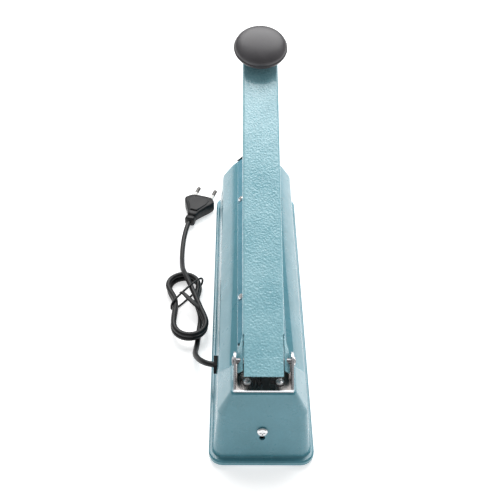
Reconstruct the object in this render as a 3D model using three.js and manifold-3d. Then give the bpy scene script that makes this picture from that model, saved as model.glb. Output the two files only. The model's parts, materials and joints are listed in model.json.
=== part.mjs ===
// Impulse heat sealer: a die-cast base with a heated sealing bar and a sprung pressing arm with a knob.
// Millimetres. X to the right, Y from the hinge end to the knob end, Z up, floor at Z = 0.
import * as THREE from "three";
import { mergeVertices } from "three/addons/utils/BufferGeometryUtils.js";
import Module from "manifold-3d";

const wasm = await Module();
wasm.setup();

// ---- driving dimensions ----
const LENGTH = 320; // flange, hinge end to knob end
const WIDTH = 78; // flange
const END = LENGTH / 2; // the flange's ends are at Y = -END and Y = END
const GAP = 0.3; // between pieces that touch
const FOOT = 2.7; // height of the rubber feet
const PLATE_Z = FOOT + GAP; // underside of the bottom plate
const PLATE = 1.2; // thickness of the bottom plate
const FLANGE_TOP = 6.4;
const REAR_LEDGE = 4.2; // width of the flange's ledge at the hinge end
const FRONT_LEDGE = 11; // and at the other end
const SHOULDER_Z = 46;
const SHOULDER = 32.5; // half width at the shoulder
const DECK_Z = 62; // top of the long part
const DECK = 18.4; // its half width
const PAD_Z = 67; // top of the block that carries the hinge
const PAD = 23; // its half width
const WALL = 1.8; // thickness of the casting
const BODY_END = END - FRONT_LEDGE; // the casting's front face
const REAR_FOOT = END - REAR_LEDGE; // the rear face where it meets the flange
const REAR_TOP = 146; // and at the top of the hinge block
const JAW_START = -94.5; // rear end of the sealing bar
const JAW_END = 141.5; // front end of the sealing bar
const JAW_Z = 68; // sealing surface
const STRIP_TOP = 12; // half width at the clamp strips' upper edges
const STRIP = 1; // thickness of the clamp strips
const CLOTH = 0.3; // thickness of the release cloth
const PIVOT_Y = -127; // hinge pin
const PIVOT_Z = 79.5;
const REST_TILT = THREE.MathUtils.degToRad(20.3); // arm raised by its spring
const ARM_TOP = 4.5; // arm's top surface above the hinge pin
const ARM_SKIN = 1.2; // thickness of the arm's sheet
const ARM_HALF = 15; // half width of the arm
const ARM_DEPTH = 13; // depth of the arm's side walls
const ARM_REAR = -13; // ends of the arm, from the pin
const ARM_FRONT = 291;
const EAR_OUT = 18.6; // the arm's ears, outer half width
const EAR_R = 8.5;
const KNOB_Y = 279; // knob, from the pin
const KNOB_R = 23;
const PIN_R = 2;
const BRACKET = 21; // bracket, outer half width
const SHEET = 1.6; // thickness of the bracket's sheet
const ROD_Y = -107; // switch rod
const ROD_CAP_R = 8; // radius of the rod's domed head
const CORD_D = 4.6;
const CORD_Y = -86; // where the cord leaves the casting
const CORD_Z = 29;
const SCREW_SIDES = 20;
const ROUND = 36; // sides of larger round pieces

// ---- materials ----
const paint = (color, roughness, metalness = 0) =>
  new THREE.MeshStandardMaterial({ color, roughness, metalness });
const MATERIAL = {
  enamel: paint(0x74a7b6, 0.4, 0.1),
  zinc: paint(0xc9ccd0, 0.25, 0.9),
  steel: paint(0xd5d7da, 0.2, 0.95),
  aluminium: paint(0xb9bcc0, 0.4, 0.9),
  iron: paint(0x55575a, 0.6, 0.6),
  copper: paint(0xb06a3a, 0.4, 0.8),
  brass: paint(0xc9a85a, 0.35, 0.9),
  cloth: paint(0x9c8256, 0.6),
  rubber: paint(0x1c1c1e, 0.7),
  silicone: paint(0xd8d4c8, 0.6),
  black: paint(0x1d1d1f, 0.4),
  knob: paint(0x3a3a3c, 0.45),
  white: paint(0xf0f0ee, 0.4),
  board: paint(0x2f6b45, 0.5),
  lamp: paint(0xc0281e, 0.15),
};

// ---- helpers ----
function solidOf(geometry) {
  const plain = new THREE.BufferGeometry()
    .setAttribute("position", geometry.getAttribute("position"))
    .setIndex(geometry.index);
  const merged = mergeVertices(plain, 1e-3);
  return new wasm.Manifold(
    new wasm.Mesh({
      numProp: 3,
      vertProperties: merged.attributes.position.array,
      triVerts: new Uint32Array(merged.index.array),
    }),
  );
}

function geometryOf(solid) {
  const mesh = solid.getMesh();
  return new THREE.BufferGeometry()
    .setAttribute("position", new THREE.BufferAttribute(new Float32Array(mesh.vertProperties), 3))
    .setIndex(new THREE.BufferAttribute(new Uint32Array(mesh.triVerts), 1));
}

const join = (...all) => geometryOf(all.map(solidOf).reduce((a, b) => a.add(b)));
const cut = (base, ...tools) => geometryOf(tools.map(solidOf).reduce((a, b) => a.subtract(b), solidOf(base)));
const common = (a, b) => geometryOf(solidOf(a).intersect(solidOf(b)));

// A box between two corners.
function box([x0, y0, z0], [x1, y1, z1]) {
  const middle = [(x0 + x1) / 2, (y0 + y1) / 2, (z0 + z1) / 2];
  return new THREE.BoxGeometry(x1 - x0, y1 - y0, z1 - z0).translate(...middle);
}

// A box centred on X = 0.
const slab = (half, y0, y1, z0, z1) => box([-half, y0, z0], [half, y1, z1]);

// A turned piece: [radius, height] pairs from the axis back to the axis, along +Z.
const turned = (profile, sides = ROUND) =>
  new THREE.LatheGeometry(profile.map(([r, h]) => new THREE.Vector2(r, h)), sides).rotateX(Math.PI / 2);

// A tube-like turned piece: a closed profile that stays off the axis.
const ring = (profile, sides = ROUND) => turned([...profile, profile[0]], sides);

// A cylinder along +Z from z0 to z1.
const rod = (radius, z0, z1, sides = ROUND) =>
  turned([[0, z0], [radius, z0], [radius, z1], [0, z1]], sides);

const alongX = (geometry) => geometry.rotateY(Math.PI / 2);
const alongY = (geometry) => geometry.rotateX(-Math.PI / 2);

// A profile in X and Z, extruded along Y.
const prism = (points, y0, y1) =>
  new THREE.ExtrudeGeometry(new THREE.Shape(points.map(([x, z]) => new THREE.Vector2(x, -z))), {
    depth: y1 - y0,
    bevelEnabled: false,
  })
    .rotateX(-Math.PI / 2)
    .translate(0, y0, 0);

// A profile in X and Y, extruded along Z.
const plate = (shape, z0, z1) =>
  new THREE.ExtrudeGeometry(shape, { depth: z1 - z0, bevelEnabled: false, curveSegments: 8 })
    .translate(0, 0, z0);

// A profile in Y and Z, extruded along X.
const sidePlate = (shape, x0, x1) =>
  new THREE.ExtrudeGeometry(shape, { depth: x1 - x0, bevelEnabled: false, curveSegments: 12 })
    .rotateY(Math.PI / 2)
    .rotateX(Math.PI / 2)
    .translate(x0, 0, 0);

const mirrored = (points) => [...points, ...points.map(([x, z]) => [-x, z]).reverse()];

// The outline of a rectangle with round corners, as points anticlockwise.
function roundRect(half, y0, y1, radius, arc = 5) {
  const corners = [
    [half - radius, y1 - radius],
    [-half + radius, y1 - radius],
    [-half + radius, y0 + radius],
    [half - radius, y0 + radius],
  ];
  return corners.flatMap(([x, y], corner) =>
    Array.from({ length: arc + 1 }, (_, i) => {
      const angle = ((corner + i / arc) * Math.PI) / 2;
      return [x + radius * Math.cos(angle), y + radius * Math.sin(angle)];
    }),
  );
}

// A solid through stacked round rectangles, each {z, half, y0, y1, r}, from the lowest up.
function stack(levels) {
  const rings = levels.map(({ z, half, y0, y1, r }) => roundRect(half, y0, y1, r).map(([x, y]) => [x, y, z]));
  const count = rings[0].length;
  const positions = rings.flat(2);
  const index = [];
  for (let level = 0; level + 1 < rings.length; level++)
    for (let i = 0; i < count; i++) {
      const a = level * count + i;
      const b = level * count + ((i + 1) % count);
      index.push(a, b, b + count, a, b + count, a + count);
    }
  const top = (rings.length - 1) * count;
  for (let i = 1; i + 1 < count; i++) index.push(0, i + 1, i, top, top + i, top + i + 1);
  return new THREE.BufferGeometry()
    .setAttribute("position", new THREE.Float32BufferAttribute(positions, 3))
    .setIndex(index);
}

// A level of a stack that is centred on Y = 0.
const level = (z, half, end, r) => ({ z, half, y0: -end, y1: end, r });

const group = new THREE.Group();
group.name = "impulse_heat_sealer";

// Adds a named piece in its material.
function add(name, geometry, material) {
  const mesh = new THREE.Mesh(geometry, MATERIAL[material].clone());
  mesh.name = name;
  group.add(mesh);
}

// A cross-recessed pan-head screw, head on +Z above z = 0, shank below.
function panScrew(headR, headH, shankR, shankLength) {
  const body = turned(
    [
      [0, -shankLength],
      [shankR, -shankLength],
      [shankR, 0],
      [headR, 0],
      [headR, 0.45 * headH],
      [0.8 * headR, 0.85 * headH],
      [0.5 * headR, headH],
      [0, headH],
    ],
    SCREW_SIDES,
  );
  const arm = 0.55 * headR;
  const slot = 0.13 * headR;
  const depth = 0.5 * headH;
  return cut(
    body,
    box([-arm, -slot, depth], [arm, slot, 2 * headH]),
    box([-slot, -arm, depth], [slot, arm, 2 * headH]),
  );
}

// ---- base casting ----
const bodySlope = (z) => BODY_END - (0.8 * (z - FLANGE_TOP)) / (SHOULDER_Z - FLANGE_TOP);
const REAR_SLOPE = (REAR_FOOT - REAR_TOP) / (PAD_Z - FLANGE_TOP);
const rearFace = (z) => REAR_SLOPE * (z - FLANGE_TOP) - REAR_FOOT;
const rearInside = (z) => rearFace(z) + WALL + 0.2;
// Sets a piece on the rear face: its Y runs into the casting.
const onRear = (piece, z) => piece.rotateX(-Math.atan(REAR_SLOPE)).translate(0, rearFace(z), z);
const outer = stack([
  level(2.4, WIDTH / 2, END, 10.5),
  level(FLANGE_TOP - 1, WIDTH / 2, END, 10.5),
  level(FLANGE_TOP, WIDTH / 2 - 1, END - 1, 9.5),
  { z: FLANGE_TOP + 0.2, half: 36.6, y0: rearFace(FLANGE_TOP) - 0.6, y1: BODY_END + 0.6, r: 8 },
  { z: FLANGE_TOP + 1, half: 36, y0: rearFace(FLANGE_TOP + 1), y1: BODY_END, r: 7.6 },
  { z: SHOULDER_Z - 1.5, half: SHOULDER + 0.1, y0: rearFace(SHOULDER_Z), y1: bodySlope(SHOULDER_Z), r: 6.6 },
  { z: SHOULDER_Z + 1, half: SHOULDER - 1, y0: rearFace(SHOULDER_Z + 1), y1: 147.5, r: 6.2 },
  { z: 58, half: 24, y0: rearFace(58), y1: 146.4, r: 6 },
  { z: DECK_Z, half: DECK, y0: rearFace(DECK_Z), y1: 145.5, r: 3 },
]);
const hingeBlock = stack([
  { z: SHOULDER_Z - 6, half: SHOULDER, y0: rearFace(SHOULDER_Z), y1: -103, r: 6.6 },
  { z: SHOULDER_Z, half: SHOULDER - 0.1, y0: rearFace(SHOULDER_Z), y1: -104, r: 6.5 },
  { z: PAD_Z - 1.2, half: PAD + 0.6, y0: rearFace(PAD_Z - 1.2), y1: -118, r: 3.4 },
  { z: PAD_Z, half: PAD - 0.6, y0: rearFace(PAD_Z) + 0.8, y1: -119, r: 2.8 },
]);
const HOLLOW_Z = PLATE_Z + PLATE + GAP;
const hollow = stack([
  { z: HOLLOW_Z - 0.001, half: 36 - WALL, y0: rearInside(HOLLOW_Z), y1: BODY_END - WALL, r: 6.5 },
  { z: SHOULDER_Z - 1, half: SHOULDER - WALL, y0: rearInside(SHOULDER_Z), y1: BODY_END - WALL - 0.8, r: 5.5 },
  { z: 57, half: 22.8, y0: rearInside(57), y1: 144.6, r: 4.5 },
  { z: DECK_Z - WALL, half: DECK - 0.9, y0: rearInside(DECK_Z - WALL), y1: 143.7, r: 2 },
]);
const hingeHollow = stack([
  { z: SHOULDER_Z - 6, half: SHOULDER - WALL, y0: -146, y1: -106, r: 5.4 },
  { z: SHOULDER_Z, half: SHOULDER - WALL - 0.2, y0: -146, y1: -107, r: 5.2 },
  { z: PAD_Z - WALL, half: PAD - WALL + 0.4, y0: -144, y1: -120, r: 2.6 },
]);
const plateRecess = stack([level(0, 37.2, END - 2, 8.7), level(HOLLOW_Z, 37.2, END - 2, 8.7)]);
const FOOT_AT = [
  ["rear_left", -28, -149.5],
  ["rear_right", 28, -149.5],
  ["front_left", -28, 149.5],
  ["front_right", 28, 149.5],
];
const FOOT_SHANK = 1.5;
const FOOT_SCREW = 4.2; // length of its shank
const BOSS_R = 5.2; // bosses inside the rear wall that take the rear foot screws
const BOSS_TOP = 14;
const boss = (x, y) => common(rod(BOSS_R, HOLLOW_Z, BOSS_TOP, ROUND).translate(x, y, 0), outer);
const BUSH_R = 4.2;
const BRACKET_SCREWS = [
  ["left", -11.7, -137.6],
  ["right", 11.7, -137.6],
];
const BRACKET_Z = PAD_Z + GAP;
const REAR_SCREW_Z = 31.8;
const REAR_HOLE_Z = REAR_SCREW_Z - 6.4; // small open hole below the screw
const DIAL_X = -9;
const DIAL_Z = 28;
const LAMP_X = 18;
const LAMP_Z = 34;
const hole = (r, x, y, z0, z1) => rod(r, z0, z1, SCREW_SIDES).translate(x, y, 0);
const holeY = (r, x, z, y0, y1) => alongY(rod(r, y0, y1, SCREW_SIDES)).translate(x, 0, z);
add(
  "housing",
  cut(
    join(
      cut(join(outer, hingeBlock), hollow, hingeHollow, plateRecess),
      ...FOOT_AT.slice(0, 2).map(([, x, y]) => boss(x, y)),
    ),
    box([-17.9, JAW_START - 1.8, 57.5], [17.9, 145.2, 80]),
    ...FOOT_AT.map(([, x, y]) => hole(FOOT_SHANK + GAP, x, y, 3, 5.9)),
    ...BRACKET_SCREWS.map(([, x, y]) => hole(1.5 + GAP, x, y, 55, 80)),
    hole(BUSH_R + GAP, 0, ROD_Y, 50, 80),
    onRear(alongY(rod(1.5 + GAP, -5, 5, SCREW_SIDES)), REAR_SCREW_Z),
    onRear(alongY(rod(2.2, -5, 5, SCREW_SIDES)), REAR_HOLE_Z),
    holeY(3.5 + GAP, DIAL_X, DIAL_Z, 140, 160),
    holeY(3.6 + GAP, LAMP_X, LAMP_Z, 140, 160),
    box([-45, CORD_Y - 5.3, CORD_Z - 5.3], [-28, CORD_Y + 5.3, CORD_Z + 5.3]),
  ),
  "enamel",
);

// ---- bottom plate, feet and their screws ----
const TRANSFORMER_Y = 40;
const STRAP_FOOT_X = 30;
add(
  "bottom_plate",
  cut(
    stack([level(PLATE_Z, 36.9, END - 2.3, 8.4), level(PLATE_Z + PLATE, 36.9, END - 2.3, 8.4)]),
    ...FOOT_AT.map(([, x, y]) => hole(FOOT_SHANK + GAP, x, y, 0, 10)),
    ...[-1, 1].map((side) => hole(1.2 + GAP, side * STRAP_FOOT_X, TRANSFORMER_Y, 0, 10)),
  ),
  "zinc",
);
const FOOT_HEAD_R = 3;
for (const [name, x, y] of FOOT_AT) {
  add(
    "foot_" + name,
    ring([
      [FOOT_SHANK + GAP, FOOT],
      [FOOT_SHANK + GAP, FOOT - 1],
      [FOOT_HEAD_R + 0.5, FOOT - 1],
      [FOOT_HEAD_R + 0.5, 0],
      [6.5, 0],
      [7, FOOT],
    ]).translate(x, y, 0),
    "rubber",
  );
  add(
    "foot_screw_" + name,
    panScrew(FOOT_HEAD_R, 1, FOOT_SHANK, FOOT_SCREW).rotateX(Math.PI).translate(x, y, FOOT - 1 - GAP),
    "steel",
  );
}

// ---- sealing bar: bar, insulation, heating wire, release cloth and clamp strips ----
// The clamp strips slope from the deck's edge up to the sealing surface.
const slope = new THREE.Vector2(STRIP_TOP - DECK, JAW_Z - DECK_Z).normalize();
const stripTilt = Math.atan2(slope.y, -slope.x);
// The point a distance up the strip's face, and a depth below it.
const onStrip = (up, depth) => [
  DECK + up * slope.x - depth * slope.y,
  DECK_Z + up * slope.y + depth * slope.x,
];
const STRIP_WIDTH = Math.hypot(STRIP_TOP - DECK, JAW_Z - DECK_Z);
// The point at a height on the line that runs a depth below the strip's face.
function underStrip(depth, z) {
  const [x0, z0] = onStrip(0, depth);
  return [x0 + ((z - z0) / slope.y) * slope.x, z];
}
const clothTop = STRIP + GAP;
const clothUnder = clothTop + CLOTH;
const barFace = clothUnder + GAP;
const BAR_TOP = JAW_Z - 2;
const BAR_FOOT = 56;
const barFoot = onStrip(0, barFace);
const STRIP_SCREWS = [
  ["rear", -47],
  ["front", 80],
];
const STRIP_MID = onStrip(STRIP_WIDTH / 2, 0);
// A tool or screw set square on a clamp strip: side is -1 for left, 1 for right.
const onSlope = (geometry, side, y) =>
  geometry.rotateY(side * stripTilt).translate(side * STRIP_MID[0], y, STRIP_MID[1]);
const stripHoles = [-1, 1].flatMap((side) =>
  STRIP_SCREWS.map(([, y]) => onSlope(rod(1.3 + GAP, -6, 4, SCREW_SIDES), side, y)),
);
add(
  "sealing_bar",
  cut(
    prism(
      mirrored([
        [barFoot[0], BAR_FOOT],
        barFoot,
        underStrip(barFace, BAR_TOP),
      ]),
      JAW_START,
      JAW_END,
    ),
    prism(mirrored([[14.8, BAR_FOOT - 1], [14.8, 59], [9, 63]]), JAW_START - 1, JAW_END + 1),
    ...stripHoles,
  ),
  "aluminium",
);
add("insulation_strip", slab(5, JAW_START + 1, JAW_END - 1, BAR_TOP + GAP, BAR_TOP + 0.8), "silicone");
const WIRE_Z = BAR_TOP + 1.1;
const WIRE = 0.3;
const wireEnd = (y) => (y < 0 ? [y - 0.9, y - 0.6] : [y + 0.6, y + 0.9]);
const wireLegs = [JAW_START, JAW_END].map((y) => {
  const [y0, y1] = wireEnd(y);
  return slab(1.5, y0, y1, 50, WIRE_Z + WIRE);
});
const ribbon = slab(1.5, JAW_START - 0.9, JAW_END + 0.9, WIRE_Z, WIRE_Z + WIRE);
add("heating_wire", join(ribbon, ...wireLegs), "steel");
add(
  "release_cloth",
  cut(
    prism(
      [
        onStrip(1, clothTop),
        underStrip(clothTop, JAW_Z),
        ...mirrored([onStrip(1, clothTop), underStrip(clothTop, JAW_Z)]).slice(2),
        ...mirrored([onStrip(1, clothUnder), underStrip(clothUnder, JAW_Z - CLOTH)]).slice(2).reverse(),
        underStrip(clothUnder, JAW_Z - CLOTH),
        onStrip(1, clothUnder),
      ],
      JAW_START + 0.3,
      JAW_END - 0.3,
    ),
    ...stripHoles,
  ),
  "cloth",
);
for (const [name, side] of [["left", -1], ["right", 1]]) {
  const corners = [
    onStrip(0.5, 0),
    onStrip(STRIP_WIDTH, 0),
    onStrip(STRIP_WIDTH, STRIP),
    onStrip(0.9, STRIP),
  ];
  add(
    "clamp_strip_" + name,
    cut(prism(corners.map(([x, z]) => [side * x, z]), JAW_START, JAW_END + 1.6), ...stripHoles),
    "enamel",
  );
  for (const [place, y] of STRIP_SCREWS)
    add(
      "strip_screw_" + name + "_" + place,
      onSlope(panScrew(2.6, 1.5, 1.3, 5).translate(0, 0, GAP), side, y),
      "steel",
    );
}
add(
  "front_plate",
  prism(
    mirrored([[17.3, 58], [17.3, DECK_Z + GAP], [DECK + 0.8, DECK_Z + GAP], [STRIP_TOP + 0.7, JAW_Z + 0.8]]),
    JAW_END + 2.3,
    JAW_END + 3.4,
  ),
  "black",
);
for (const [name, y] of [["rear", JAW_START - 4.1], ["front", JAW_END - 1.8]])
  add("wire_terminal_" + name, slab(4, y, y + (y < 0 ? 2.9 : 2.1), 44, y < 0 ? 56 : 55.5), "brass");

// ---- hinge bracket, its screws and the pin ----
const BRACKET_TOP = 6.6; // radius of the ears round the pin
const earShape = new THREE.Shape();
earShape.moveTo(-145, BRACKET_Z);
earShape.lineTo(-117.5, BRACKET_Z);
earShape.absarc(PIVOT_Y, PIVOT_Z, BRACKET_TOP, -0.25, Math.PI - 0.75, false);
earShape.lineTo(-145, BRACKET_Z + 2.5);
earShape.closePath();
const pinHole = (r) => alongX(rod(r, -30, 30, SCREW_SIDES)).translate(0, PIVOT_Y, PIVOT_Z);
add(
  "hinge_bracket",
  cut(
    join(
      slab(BRACKET, -145, -117.5, BRACKET_Z, BRACKET_Z + SHEET),
      sidePlate(earShape, -BRACKET, -BRACKET + SHEET),
      sidePlate(earShape, BRACKET - SHEET, BRACKET),
    ),
    pinHole(PIN_R + GAP),
    ...BRACKET_SCREWS.map(([, x, y]) => hole(1.5 + GAP, x, y, 60, 75)),
  ),
  "zinc",
);
for (const [name, x, y] of BRACKET_SCREWS)
  add("bracket_screw_" + name, panScrew(3.1, 1.9, 1.5, 7).translate(x, y, BRACKET_Z + SHEET + GAP), "steel");
add(
  "hinge_pin",
  alongX(
    turned(
      [
        [0, -BRACKET - 1.5],
        [2.2, -BRACKET - 1.3],
        [3.4, -BRACKET - 0.8],
        [3.4, -BRACKET - GAP],
        [PIN_R, -BRACKET - GAP],
        [PIN_R, BRACKET + 1.5],
        [PIN_R - 0.5, BRACKET + 1.8],
        [0, BRACKET + 1.8],
      ],
      24,
    ),
  ).translate(0, PIVOT_Y, PIVOT_Z),
  "steel",
);
add(
  "pin_retainer",
  alongX(
    ring([
      [PIN_R + GAP, BRACKET + GAP],
      [3.4, BRACKET + GAP],
      [3.4, BRACKET + 0.9],
      [PIN_R + GAP, BRACKET + 1.2],
    ]),
  ).translate(0, PIVOT_Y, PIVOT_Z),
  "steel",
);

// ---- switch rod, its bush and spring, and the switch it presses ----
// The rod's domed head follows the underside of the arm, turned by the arm's tilt.
const UNDER_ARM = ARM_TOP - ARM_SKIN;
const headCentre =
  PIVOT_Z + (UNDER_ARM - ROD_CAP_R - 0.5) / Math.cos(REST_TILT) + (ROD_Y - PIVOT_Y) * Math.tan(REST_TILT);
const HEAD_R = 5;
const headTop = headCentre + ROD_CAP_R;
const capEdge = headCentre + Math.sqrt(ROD_CAP_R ** 2 - HEAD_R ** 2);
const capPoints = [0, 0.35, 0.7].map((share) => {
  const angle = Math.asin(HEAD_R / ROD_CAP_R) * (1 - share);
  return [ROD_CAP_R * Math.sin(angle), headCentre + ROD_CAP_R * Math.cos(angle)];
});
const ROD_END = 52;
add(
  "switch_rod",
  turned([
    [0, ROD_END],
    [PIN_R, ROD_END],
    [PIN_R, capEdge - 2],
    [HEAD_R, capEdge - 2],
    ...capPoints,
    [0, headTop],
  ]).translate(0, ROD_Y, 0),
  "steel",
);
const BUSH_TOP = DECK_Z + GAP + 1;
add(
  "rod_bush",
  ring([
    [PIN_R + GAP, DECK_Z - 4],
    [BUSH_R, DECK_Z - 4],
    [BUSH_R, DECK_Z + GAP],
    [6.5, DECK_Z + GAP],
    [6.5, BUSH_TOP],
    [PIN_R + GAP, BUSH_TOP],
  ]).translate(0, ROD_Y, 0),
  "black",
);
const SPRING_R = 3.6;
const SPRING_WIRE = 0.9;
const SPRING_TURNS = 7;
const SPRING_STEPS = 14;
class Coil extends THREE.Curve {
  getPoint(t, target = new THREE.Vector3()) {
    const bottom = BUSH_TOP + GAP + SPRING_WIRE / 2 + 0.1;
    const top = capEdge - 2 - GAP - SPRING_WIRE / 2 - 0.1;
    const angle = 2 * Math.PI * SPRING_TURNS * t;
    return target.set(SPRING_R * Math.cos(angle), SPRING_R * Math.sin(angle), bottom + (top - bottom) * t);
  }
}
// A round bar along a curve.
function bar(curve, diameter, steps, sides = 8) {
  const circle = new THREE.Shape(
    Array.from({ length: sides }, (_, i) => {
      const angle = (2 * Math.PI * i) / sides;
      return new THREE.Vector2((diameter / 2) * Math.cos(angle), (diameter / 2) * Math.sin(angle));
    }),
  );
  return new THREE.ExtrudeGeometry(circle, { steps, extrudePath: curve, bevelEnabled: false });
}
const spring = bar(new Coil(), SPRING_WIRE, SPRING_TURNS * SPRING_STEPS, 6);
add("return_spring", spring.translate(0, ROD_Y, 0), "steel");
const SWITCH_TOP = 44;
const SWITCH_FLOOR = SWITCH_TOP - 10;
const PLUNGER_TOP = 45.9;
add(
  "switch_body",
  cut(
    box([-10, ROD_Y - 3.2, SWITCH_FLOOR], [10, ROD_Y + 3.2, SWITCH_TOP]),
    hole(1.5 + GAP, 0, ROD_Y, SWITCH_TOP - 4, SWITCH_TOP + 1),
  ),
  "black",
);
add(
  "switch_plunger",
  turned(
    [
      [0, SWITCH_TOP - 2],
      [1.5, SWITCH_TOP - 2],
      [1.5, PLUNGER_TOP - 0.3],
      [1.2, PLUNGER_TOP],
      [0, PLUNGER_TOP],
    ],
    20,
  )
    .translate(0, ROD_Y, 0),
  "white",
);
const INSIDE_FLOOR = PLATE_Z + PLATE + GAP;
add(
  "switch_stand",
  join(
    slab(10, ROD_Y - 7, ROD_Y + 7, INSIDE_FLOOR, INSIDE_FLOOR + 1.2),
    slab(10, ROD_Y - 0.6, ROD_Y + 0.6, INSIDE_FLOOR + 1, SWITCH_FLOOR - GAP),
    slab(10, ROD_Y - 3.2, ROD_Y + 3.2, SWITCH_FLOOR - GAP - 1.2, SWITCH_FLOOR - GAP),
  ),
  "zinc",
);

// ---- earth screw in the rear face and its lug ----
add(
  "earth_screw",
  onRear(alongY(panScrew(3.8, 1.7, 1.5, 9)).rotateZ(Math.PI).translate(0, -GAP, 0), REAR_SCREW_Z),
  "steel",
);
add(
  "earth_lug",
  cut(
    onRear(box([-4, WALL + 2 * GAP, -2.6], [4, WALL + 2 * GAP + 1.2, 12]), REAR_SCREW_Z),
    onRear(alongY(rod(1.5 + GAP, 0, 6, SCREW_SIDES)), REAR_SCREW_Z),
  ),
  "brass",
);

// ---- transformer ----
const CORE_Z = INSIDE_FLOOR;
const CORE_TOP = CORE_Z + 40;
const CORE_X = 25;
const CORE_Y = 11;
add(
  "transformer_core",
  cut(
    slab(CORE_X, TRANSFORMER_Y - CORE_Y, TRANSFORMER_Y + CORE_Y, CORE_Z, CORE_TOP),
    ...[-1, 1].map((side) =>
      slab(4.5, TRANSFORMER_Y - 20, TRANSFORMER_Y + 20, CORE_Z + 8, CORE_TOP - 8).translate(side * 13, 0, 0),
    ),
  ),
  "iron",
);
add(
  "transformer_coil",
  cut(
    slab(17.2, TRANSFORMER_Y - 20, TRANSFORMER_Y + 20, CORE_Z + 8.3, CORE_TOP - 8.3),
    slab(8.8, TRANSFORMER_Y - CORE_Y - GAP, TRANSFORMER_Y + CORE_Y + GAP, 0, CORE_TOP + 9),
  ),
  "copper",
);
const strapArch = mirrored([
  [33.4, CORE_Z],
  [33.4, CORE_Z + 1],
  [CORE_X + 1.3, CORE_Z + 1],
  [CORE_X + 1.3, CORE_TOP + 1.3],
]);
const strapInside = mirrored([[CORE_X + GAP, 0], [CORE_X + GAP, CORE_TOP + GAP]]);
add(
  "transformer_strap",
  cut(
    prism(strapArch, TRANSFORMER_Y - 5, TRANSFORMER_Y + 5),
    prism(strapInside, TRANSFORMER_Y - 6, TRANSFORMER_Y + 6),
    ...[-1, 1].map((side) => hole(1.2 + GAP, side * STRAP_FOOT_X, TRANSFORMER_Y, 0, 10)),
  ),
  "zinc",
);

for (const [name, side] of [["left", -1], ["right", 1]])
  add(
    "strap_screw_" + name,
    panScrew(2.4, 1.4, 1.2, 3).translate(side * STRAP_FOOT_X, TRANSFORMER_Y, CORE_Z + 1 + GAP),
    "steel",
  );

// ---- timer: dial, shaft, potentiometer, board, relay and lamp ----
const FACE_Y = BODY_END; // the front face
add(
  "timer_dial",
  alongY(
    cut(
      turned([
        [0, 0],
        [11.5, 0],
        [11.5, 2],
        [9.4, 2.8],
        [8.8, 7.8],
        [8, 8.4],
        [0, 8.4],
      ]),
      rod(3 + GAP, -1, 6),
      box([-0.5, 3, 7.8], [0.5, 9, 9]),
    ),
  ).translate(DIAL_X, FACE_Y + 1.8, DIAL_Z),
  "black",
);
add("timer_shaft", alongY(rod(3, -9, 5.2)).translate(DIAL_X, FACE_Y + 2, DIAL_Z), "aluminium");
add(
  "timer_control",
  alongY(
    ring([
      [3 + GAP, -13],
      [8, -13],
      [8, -4],
      [3.5, -4],
      [3.5, 1.2],
      [3 + GAP, 1.2],
    ]),
  ).translate(DIAL_X, FACE_Y, DIAL_Z),
  "zinc",
);
add("timer_board", box([-28, FACE_Y - 15, 12], [28, FACE_Y - 13.4, 44]), "board");
add("timer_relay", box([-24, FACE_Y - 31, 16], [-8, FACE_Y - 15.3, 32]), "black");
add(
  "indicator_lamp",
  alongY(
    turned([
      [0, -10],
      [3.6, -10],
      [3.6, 0.6],
      [5, 0.6],
      [5, 1.8],
      [4.2, 2.4],
      [3, 4],
      [1.5, 4.8],
      [0, 5],
    ]),
  ).translate(LAMP_X, FACE_Y, LAMP_Z),
  "lamp",
);

// ---- arm: everything is set out from the pin, closed, and then raised ----
const raise = (geometry) => geometry.rotateX(REST_TILT).translate(0, PIVOT_Y, PIVOT_Z);
const WALL_FOOT = ARM_TOP - ARM_DEPTH;
const EDGE = 2.2; // radius of the arm's long edges
const quarter = (cx, cz, r, n = 4) =>
  Array.from({ length: n + 1 }, (_, i) => {
    const angle = ((i / n) * Math.PI) / 2;
    return [cx + r * Math.cos(angle), cz + r * Math.sin(angle)];
  });
const channelOuter = mirrored([[ARM_HALF, WALL_FOOT], ...quarter(ARM_HALF - EDGE, ARM_TOP - EDGE, EDGE)]);
const channelInner = mirrored([
  [ARM_HALF - ARM_SKIN, WALL_FOOT - 1],
  ...quarter(ARM_HALF - EDGE, ARM_TOP - EDGE, EDGE - ARM_SKIN, 3),
]);
const TONGUE = 13.9; // half width of the top sheet between the side walls
const FLARE_START = 19;
const FLARE_END = 5;
// The side walls leave the top sheet at the hinge end: their upper edges stay beside it and their
// lower parts splay out to the bracket's ears.
const LAP = 0.05; // how far a wall's end sits inside the channel's own wall
const straightWall = [
  [ARM_HALF - LAP, ARM_TOP - 2.4],
  [ARM_HALF - LAP, ARM_TOP - 2.6],
  [ARM_HALF - LAP, WALL_FOOT + LAP],
  [ARM_HALF - ARM_SKIN + LAP, WALL_FOOT + LAP],
  [ARM_HALF - ARM_SKIN + LAP, ARM_TOP - 2.7],
  [ARM_HALF - ARM_SKIN + 0.3, ARM_TOP - 2.4],
];
const splayedWall = [
  [ARM_HALF + 0.4, ARM_TOP - 1.2],
  [EAR_OUT, -0.6],
  [EAR_OUT, WALL_FOOT],
  [EAR_OUT - ARM_SKIN, WALL_FOOT],
  [EAR_OUT - ARM_SKIN, -1.1],
  [ARM_HALF - 0.4, ARM_TOP - 2.1],
];
const onSide = (profile, side) => profile.map(([x, z]) => [side * x, z]);
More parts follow.
